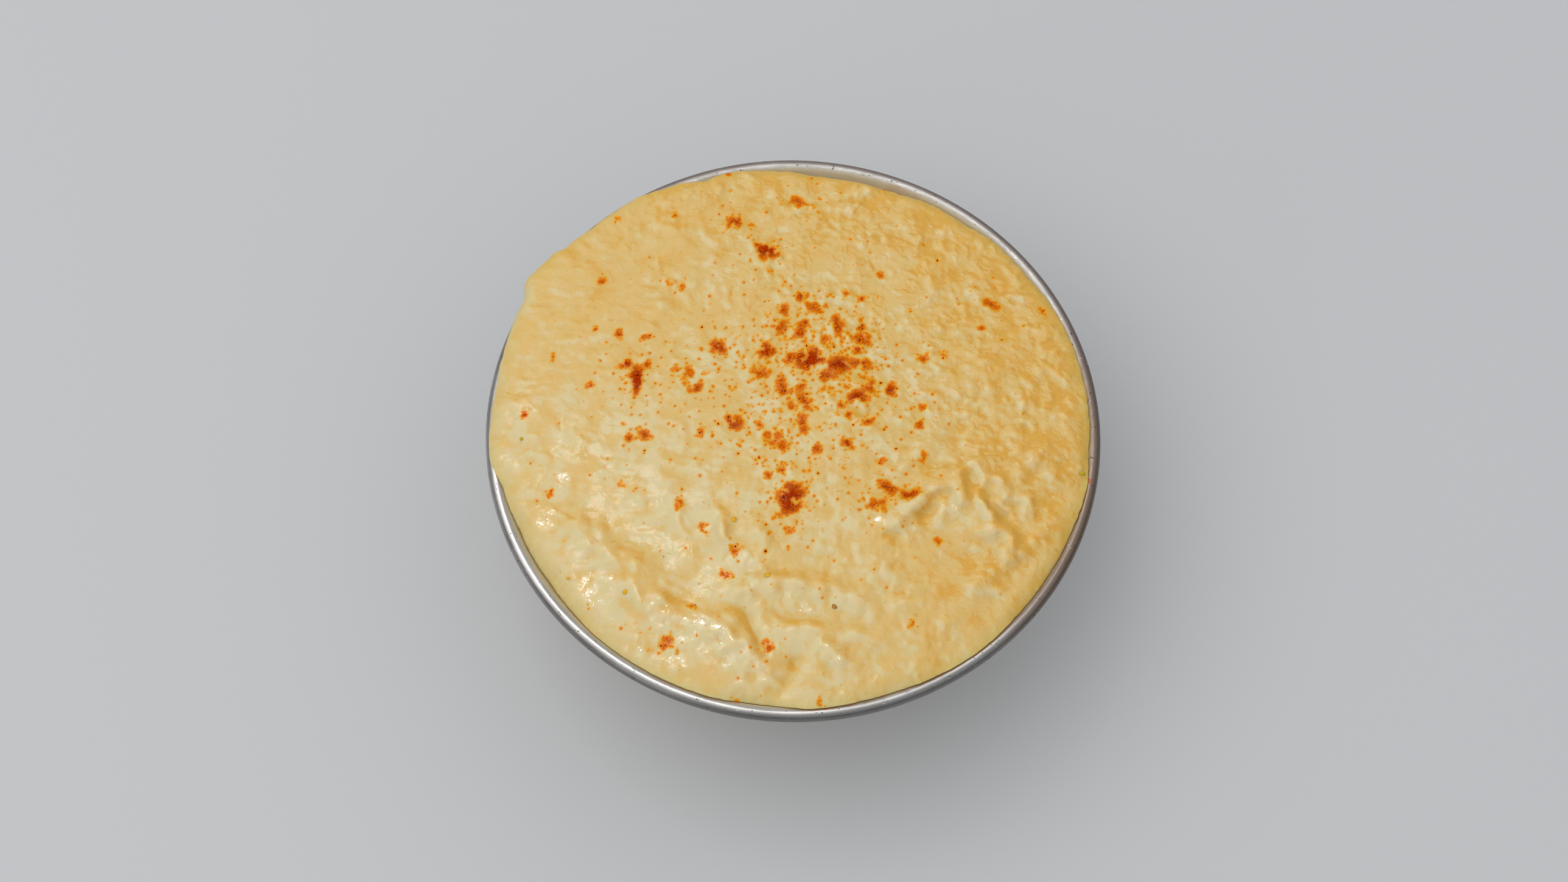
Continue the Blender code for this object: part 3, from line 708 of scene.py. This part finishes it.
def scatter(name, surface, grains):
    # grains lie on the hummus in batches, as one large mesh is slow to add to
    whole = bmesh.new()
    whole.verts.layers.float.new("tone")
    batch = bpy.data.meshes.new("batch")
    for first in range(0, len(grains), flakes["batch"]):
        shape = bmesh.new()
        tone = shape.verts.layers.float.new("tone")
        for x, y, size, lift, shade in grains[first : first + flakes["batch"]]:
            place, normal = dropped(surface, x, y)
            if place is None or normal.z < flakes["steepest"]:
                continue
            squash = Matrix.Diagonal((1.0, draw.uniform(*flakes["narrow"]), draw.uniform(*flakes["flat"])))
            spin = Matrix.Rotation(draw.uniform(0, 2 * math.pi), 3, "Z")
            stand = Vector((0, 0, 1)).rotation_difference(normal).to_matrix()
            turn = stand @ spin @ squash
            grain = bmesh.ops.create_icosphere(shape, subdivisions=1, radius=0.5 * size * mm)["verts"]
            for vert in grain:
                crumpled = vert.co * draw.uniform(*flakes["crumple"])
                vert.co = place + normal * lift * mm + turn @ crumpled
                vert[tone] = shade
        shape.to_mesh(batch)
        shape.free()
        whole.from_mesh(batch)
    bpy.data.meshes.remove(batch)
    return meshPiece(name, whole)


# paprika smeared on the lip: azimuth and half length in degrees, inner and outer radius in m
smears = ((69, 3.0, 0.0566, 0.0576), (106, 2.2, 0.0568, 0.0578), (-9, 0.5, 0.0578, 0.0585))

# radii in m where the looks of the lip change
lipBands = {"inside": 0.0574, "crest": 0.0583, "brown": 0.0591, "outside": 0.0592}


# materials
def steelLook(piece):
    m = Nodes("dull steel")
    # hairlines run round the lip: slow round the compass, quick across the section
    apart = m.add("ShaderNodeSeparateXYZ")
    m.join(m.place, apart.inputs[0])
    x, y, z = apart.outputs
    away = m.math("SQRT", m.math("ADD", m.math("MULTIPLY", x, x), m.math("MULTIPLY", y, y)))
    unit = m.math("MAXIMUM", away, 0.001)
    band = m.add("ShaderNodeCombineXYZ")
    slow = 8 * mm
    m.join(m.math("MULTIPLY", m.math("DIVIDE", x, unit), slow), band.inputs[0])
    m.join(m.math("MULTIPLY", m.math("DIVIDE", y, unit), slow), band.inputs[1])
    m.join(m.math("ADD", away, m.math("MULTIPLY", z, 0.37)), band.inputs[2])
    hair = m.noise(0.22, 3.0, 0.6, at=band.outputs[0])
    coarse = m.noise(1.2, 2.0, 0.5, at=band.outputs[0])
    blotch = m.noise(6.0, 3.0, 0.55)
    nick = m.span(m.noise(0.55, 1.0, 0.4), 0.70, 0.76)
    scratch = m.span(m.noise(0.5, 2.0, 0.6, stretch=(0.9, (0.18, 1.0, 1.0))), 0.68, 0.74)
    colour = m.mix(m.span(blotch, 0.35, 0.7), lin(180, 176, 172), lin(162, 158, 153))
    # painted reflections: darker on the outer side of the front and brown at the right, where the lip mirrors
    # dark and warm surroundings; brown on the brim behind too
    towards = m.add("ShaderNodeCombineXYZ")
    m.join(m.math("DIVIDE", x, unit), towards.inputs[0])
    m.join(m.math("DIVIDE", y, unit), towards.inputs[1])
    front = m.span(m.dot(towards.outputs[0], (0.25, -0.97, 0.0)), 0.0, 0.75)
    outer = m.span(away, lipBands["crest"], lipBands["outside"])
    # painted dark reflection on the outer side of the front
    frontDarkReflection = m.math("MULTIPLY", m.math("MULTIPLY", front, outer), 0.75)
    colour = m.mix(frontDarkReflection, colour, lin(118, 116, 114))
    # painted reflection: brown at the right, from warm dark surroundings mirrored in the lip
    right = m.span(m.dot(towards.outputs[0], (0.98, -0.17, 0.0)), 0.72, 0.97)
    colour = m.mix(m.math("MULTIPLY", right, 0.9), colour, lin(124, 105, 89))
    behind = m.span(m.dot(towards.outputs[0], (0.45, 0.89, 0.0)), 0.1, 0.7)
    brim = m.math("MULTIPLY", behind, m.span(away, lipBands["crest"], lipBands["brown"]))
    colour = m.mix(m.math("MULTIPLY", brim, 0.8), colour, lin(132, 116, 109))
    colour = m.mix(m.math("MULTIPLY", scratch, 0.5), colour, lin(222, 220, 216))
    blur = 0.3 * mm
    for azimuth, half, low, high in smears:
        way = (math.cos(math.radians(azimuth)), math.sin(math.radians(azimuth)), 0.0)
        ends = [math.cos(math.radians(reach * half)) for reach in (1.4, 0.6)]
        along = m.span(m.dot(towards.outputs[0], way), *ends)
        across = m.math("MULTIPLY", m.span(away, low - blur, low), m.span(away, high + blur, high))
        smear = m.math("MULTIPLY", m.math("MULTIPLY", along, across), m.span(blotch, 0.3, 0.5, 0.4, 0.9))
        colour = m.mix(smear, colour, lin(150, 66, 30))
    colour = m.mix(m.math("MULTIPLY", nick, 0.55), colour, lin(70, 66, 62))
    # painted reflection: the inner side of the lip is coloured lighter, as if it mirrored bright light from
    # above
    inner = m.span(away, lipBands["crest"], lipBands["inside"])
    colour = m.mix(m.math("MULTIPLY", inner, 0.8), colour, lin(226, 220, 200))
    m.join(colour, m.surface.inputs["Base Color"])
    m.surface.inputs["Metallic"].default_value = 1.0
    rough = m.math("ADD", m.span(hair, 0.3, 0.7, 0.28, 0.40), m.math("MULTIPLY", nick, 0.2))
    rough = m.math("ADD", rough, m.math("MULTIPLY", behind, 0.22))
    rough = m.math("ADD", rough, m.math("MULTIPLY", inner, 0.35))
    m.join(rough, m.surface.inputs["Roughness"])
    bump = m.bump(hair, 0.007)
    bump = m.bump(coarse, 0.012, before=bump)
    bump = m.bump(nick, -0.05, before=bump)
    m.join(bump, m.surface.inputs["Normal"])
    piece.data.materials.append(m.material)


def hummusLook(piece):
    m = Nodes("hummus")
    relief, stain, nearEdge = m.read("relief"), m.read("stain"), m.read("edge")
    apart = m.add("ShaderNodeSeparateXYZ")
    m.join(m.place, apart.inputs[0])
    x, y, _ = apart.outputs
    # knobs of chickpea at the back right, drag marks only on the smoother side
    knobSide = m.span(m.math("ADD", x, m.math("MULTIPLY", y, 0.7)), -0.012, 0.035, 0.1, 1.0)
    knobs = m.math("MULTIPLY", m.span(m.noise(1.8, 1.0, 0.4), 0.50, 0.68), knobSide)
    dragSide = m.span(x, 0.026, -0.012)
    grain = m.noise(0.8, 3.0, 0.6)
    cream = m.noise(2.4, 3.0, 0.52, warp=0.6)
    drag = m.noise(1.1, 2.0, 0.55, stretch=(0.12, (0.25, 1.0, 1.0)))
    creamy = m.bump(cream, 0.40, 0.45, before=m.bump(knobs, 0.24, 0.38))
    bump = m.bump(grain, 0.10, 0.45, before=creamy)
    bump = m.bump(m.math("MULTIPLY", drag, dragSide), 0.12, 0.15, before=bump)
    m.join(bump, m.surface.inputs["Normal"])

    # painted shade: slopes facing the front left are coloured pale and slopes turned away from there golden,
    # as light from the front left would shade them
    shadeAndTone = m.span(m.dot(creamy, (-0.67, -0.74, 0.0)), 0.52, -0.58)
    patches = m.span(m.noise(6.0, 2.0, 0.55), 0.32, 0.68, -0.17, 0.17)
    mottle = m.span(m.noise(2.7, 3.0, 0.5, warp=0.4), 0.32, 0.68, -0.13, 0.13)
    # painted shade: creases are coloured more golden
    low = m.span(relief, 0.56, 0.24, 0.0, 0.34)
    # painted highlight: crests are coloured paler, less so at the far right
    crestHighlight = m.span(m.math("SUBTRACT", x, m.math("MULTIPLY", y, 0.3)), 0.018, 0.042, -0.26, -0.10)
    high = m.math("MULTIPLY", m.span(relief, 0.56, 0.90), crestHighlight)
    # paler in the middle and at the front left than towards the other edges
    away = m.math("SQRT", m.math("ADD", m.math("MULTIPLY", x, x), m.math("MULTIPLY", y, y)))
    middle = m.span(away, 0.018, 0.050, -0.17, 0.05)
    front = m.span(m.math("ADD", x, m.math("MULTIPLY", y, 1.5)), -0.015, -0.062)
    paler = m.math("MULTIPLY", front, -0.15)
    rightSide = m.span(x, 0.012, 0.045, 0.0, 0.06)
    # the painted shade and painted highlights join the paste's own patches, mottle and regional tints here
    for part in (patches, mottle, low, high, middle, paler, rightSide):
        shadeAndTone = m.math("ADD", shadeAndTone, part)
    base = m.mix(m.span(shadeAndTone, -0.05, 0.5), lin(224, 206, 157), lin(226, 192, 119))
    base = m.mix(m.span(shadeAndTone, 0.5, 1.05), base, lin(227, 176, 78))
    # bits of chickpea and their skins
    bits = m.math("MULTIPLY", m.span(m.noise(0.9, 2.0, 0.6, warp=0.4), 0.60, 0.72), 0.35)
    base = m.mix(bits, base, lin(228, 206, 152))
    skins = m.math("MULTIPLY", m.span(m.noise(1.6, 1.0, 0.5), 0.71, 0.78), 0.5)
    base = m.mix(skins, base, lin(218, 166, 46))
    rimTint = m.math("MULTIPLY", m.span(nearEdge, 0.35, 1.0), 0.4)
    base = m.mix(rimTint, base, lin(212, 184, 98))
    # paprika oil in the paste: yellow first, then orange, then red
    base = m.mix(m.span(stain, 0.02, 0.30), base, lin(240, 172, 24))
    base = m.mix(m.span(stain, 0.25, 0.70), base, lin(242, 130, 0))
    base = m.mix(m.span(stain, 0.70, 1.0), base, lin(184, 54, 0))
    m.join(base, m.surface.inputs["Base Color"])

    # wet in places, most at the front left
    ripple = m.noise(1.0, 1.0, 0.45, warp=1.2)
    wetBump = m.bump(ripple, 0.23, 0.8)
    wet = m.math("MULTIPLY", front, m.span(m.noise(5.0, 2.0, 0.6), 0.44, 0.58))
    rough = m.span(wet, 0.0, 1.0, 0.48, 0.26)
    pooled = m.read("wet")
    rough = m.math("SUBTRACT", rough, m.span(pooled, 0.1, 0.6, 0.0, 0.12))
    m.join(rough, m.surface.inputs["Roughness"])
    film = m.span(m.noise(2.0, 2.0, 0.5), 0.46, 0.60)
    coat = m.math("MULTIPLY", m.span(pooled, 0.15, 0.6), film)
    m.join(coat, m.surface.inputs["Coat Weight"])
    m.surface.inputs["Coat Roughness"].default_value = 0.10
    m.surface.inputs["Coat IOR"].default_value = 1.62
    m.join(wetBump, m.surface.inputs["Coat Normal"])
    m.surface.inputs["Subsurface Weight"].default_value = 1.0
    m.surface.inputs["Subsurface Radius"].default_value = (1.0, 0.42, 0.20)
    m.surface.inputs["Subsurface Scale"].default_value = 2.2 * mm
    m.surface.inputs["IOR"].default_value = 1.40
    m.surface.inputs["Specular IOR Level"].default_value = 0.32
    piece.data.materials.append(m.material)


def fleckLook(piece):
    m = Nodes("flecks")
    hue = m.read("tone")
    colour = m.mix(m.span(hue, 0.0, 1.0), lin(242, 176, 12), lin(178, 118, 44))
    colour = m.mix(m.span(hue, 1.0, 2.0), colour, lin(200, 168, 8))
    colour = m.mix(m.span(m.noise(0.3, 1.0), 0.4, 0.7, 0.0, 0.4), colour, lin(212, 170, 84))
    m.join(colour, m.surface.inputs["Base Color"])
    m.surface.inputs["Roughness"].default_value = 0.8
    m.surface.inputs["Specular IOR Level"].default_value = 0.1
    piece.data.materials.append(m.material)


def paprikaLook(pieces):
    m = Nodes("paprika")
    tone = m.read("tone")
    colour = m.mix(m.span(tone, 0.0, 1.0), lin(252, 142, 0), lin(190, 50, 0))
    colour = m.mix(m.span(tone, 1.0, 1.5), colour, lin(70, 18, 10))
    mottle = m.span(m.noise(0.2, 1.0), 0.3, 0.7)
    colour = m.mix(m.math("MULTIPLY", mottle, 0.25), colour, lin(228, 96, 1))
    m.join(colour, m.surface.inputs["Base Color"])
    m.surface.inputs["Roughness"].default_value = 1.0
    m.surface.inputs["Specular IOR Level"].default_value = 0.0
    for piece in pieces:
        piece.data.materials.append(m.material)


# build
steelBowl = makeBowl()
heaped, dusted = paprikaGrains(), dustGrains()
hummusHeap, surface = makeHummus(heaped + dusted)
paprikaFlakes = scatter("paprikaFlakes", surface, heaped)
paprikaDust = scatter("paprikaDust", surface, dusted)
bits = [(x, y, size, 0.0, hue) for x, y, size, hue in flecks]
pasteFlecks = scatter("pasteFlecks", surface, bits)
steelLook(steelBowl)
hummusLook(hummusHeap)
paprikaLook([paprikaFlakes, paprikaDust])
fleckLook(pasteFlecks)
print("materials done")

# floor, light and camera
studio = {"floor": 4.0, "skyLow": 0.1, "skyHigh": 0.9, "dim": 0.20, "bright": 0.92}
bpy.ops.mesh.primitive_plane_add(size=studio["floor"])
floor = bpy.context.object
floor.name = "floor"
floorLook = Nodes("pale floor")
floorLook.surface.inputs["Base Color"].default_value = lin(197, 197, 198)
floorLook.surface.inputs["Roughness"].default_value = 0.8
floor.data.materials.append(floorLook.material)

world = bpy.data.worlds.new("studio")
bpy.context.scene.world = world
world.use_nodes = True
worldNodes = world.node_tree.nodes
worldLinks = world.node_tree.links
heading = worldNodes.new("ShaderNodeTexCoord")
split = worldNodes.new("ShaderNodeSeparateXYZ")
fall = worldNodes.new("ShaderNodeMapRange")
fall.inputs["From Min"].default_value = studio["skyLow"]
fall.inputs["From Max"].default_value = studio["skyHigh"]
fall.inputs["To Min"].default_value = studio["dim"]
fall.inputs["To Max"].default_value = studio["bright"]
worldLinks.new(heading.outputs["Generated"], split.inputs[0])
worldLinks.new(split.outputs["Z"], fall.inputs["Value"])
worldLinks.new(fall.outputs["Result"], worldNodes["Background"].inputs["Strength"])
worldNodes["Background"].inputs["Color"].default_value = (0.93, 0.96, 1.0, 1.0)


def softLight(name, azimuth, elevation, distance, size, power, colour):
    lamp = bpy.data.lights.new(name, "AREA")
    lamp.shape = "DISK"
    lamp.size = size
    lamp.energy = power
    lamp.color = colour
    holder = bpy.data.objects.new(name, lamp)
    a, e = math.radians(azimuth), math.radians(elevation)
    way = Vector((math.cos(e) * math.cos(a), math.cos(e) * math.sin(a), math.sin(e)))
    holder.location = way * distance + Vector((0, 0, 40 * mm))  # aimed at the bowl's upper half
    holder.rotation_euler = way.to_track_quat("Z", "Y").to_euler()
    bpy.context.scene.collection.objects.link(holder)
    return holder


softLight("key", 190, 64, 1.5, 1.5, 7.15, (1.0, 0.99, 0.96))
softLight("side", 232, 18, 1.2, 0.6, 0.85, (1.0, 1.0, 1.0))
softLight("back", 92, 16, 1.6, 1.2, 1.8, (1.0, 0.98, 0.96))
glint = softLight("glint", 130, 72, 1.5, 0.20, 5.6, (1.0, 1.0, 1.0))
glint.visible_diffuse = False  # it only sparkles on what is wet or polished

camera = {
    "lens": 80.0, "elevation": 65.84664, "distance": 0.677828, "roll": 1.869076,
    "target": (-0.00176935, -0.00273201, 0.046),
}
lens = bpy.data.cameras.new("camera")
lens.lens = camera["lens"]
lens.sensor_width = 36.0
viewer = bpy.data.objects.new("camera", lens)
bpy.context.scene.collection.objects.link(viewer)
e, roll = math.radians(camera["elevation"]), math.radians(camera["roll"])
ahead = Vector((0.0, math.cos(e), -math.sin(e)))
side = Vector((1.0, 0.0, 0.0))
up = side.cross(ahead)
turnedSide = math.cos(roll) * side + math.sin(roll) * up
turnedUp = -math.sin(roll) * side + math.cos(roll) * up
pose = Matrix((turnedSide, turnedUp, -ahead)).transposed().to_4x4()
pose.translation = Vector(camera["target"]) - camera["distance"] * ahead
viewer.matrix_world = pose
bpy.context.scene.camera = viewer

bpy.context.scene.view_settings.view_transform = "Standard"
bpy.context.scene.view_settings.look = "None"
print("scene ready")
